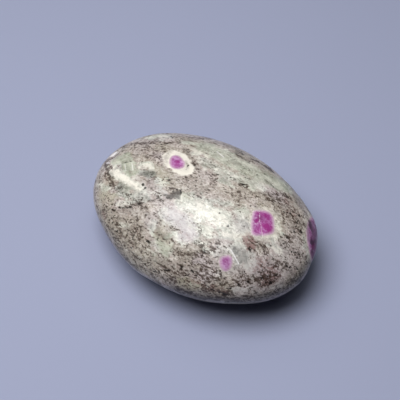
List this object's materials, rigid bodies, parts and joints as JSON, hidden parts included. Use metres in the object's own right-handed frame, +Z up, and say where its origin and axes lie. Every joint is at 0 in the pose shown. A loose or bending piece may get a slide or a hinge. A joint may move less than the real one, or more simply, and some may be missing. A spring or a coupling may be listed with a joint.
{
  "type": "ruby in albite palm stone",
  "caption": "Flattened oval palm stone of polished speckled albite rock with ruby crystals in its skin, resting on a small flat spot.",
  "frame": {"origin": "middle of the underside, on the plane that the stone rests on", "axes": "+X along the stone's length, +Y across its width, +Z up through its thickness"},
  "size_m": [0.065, 0.0472, 0.0251],
  "materials": {
    "polished_albite_rock": "polished"
  },
  "bodies": {
    "root": {"palm_stone": "polished_albite_rock"}
  },
  "joints": []
}
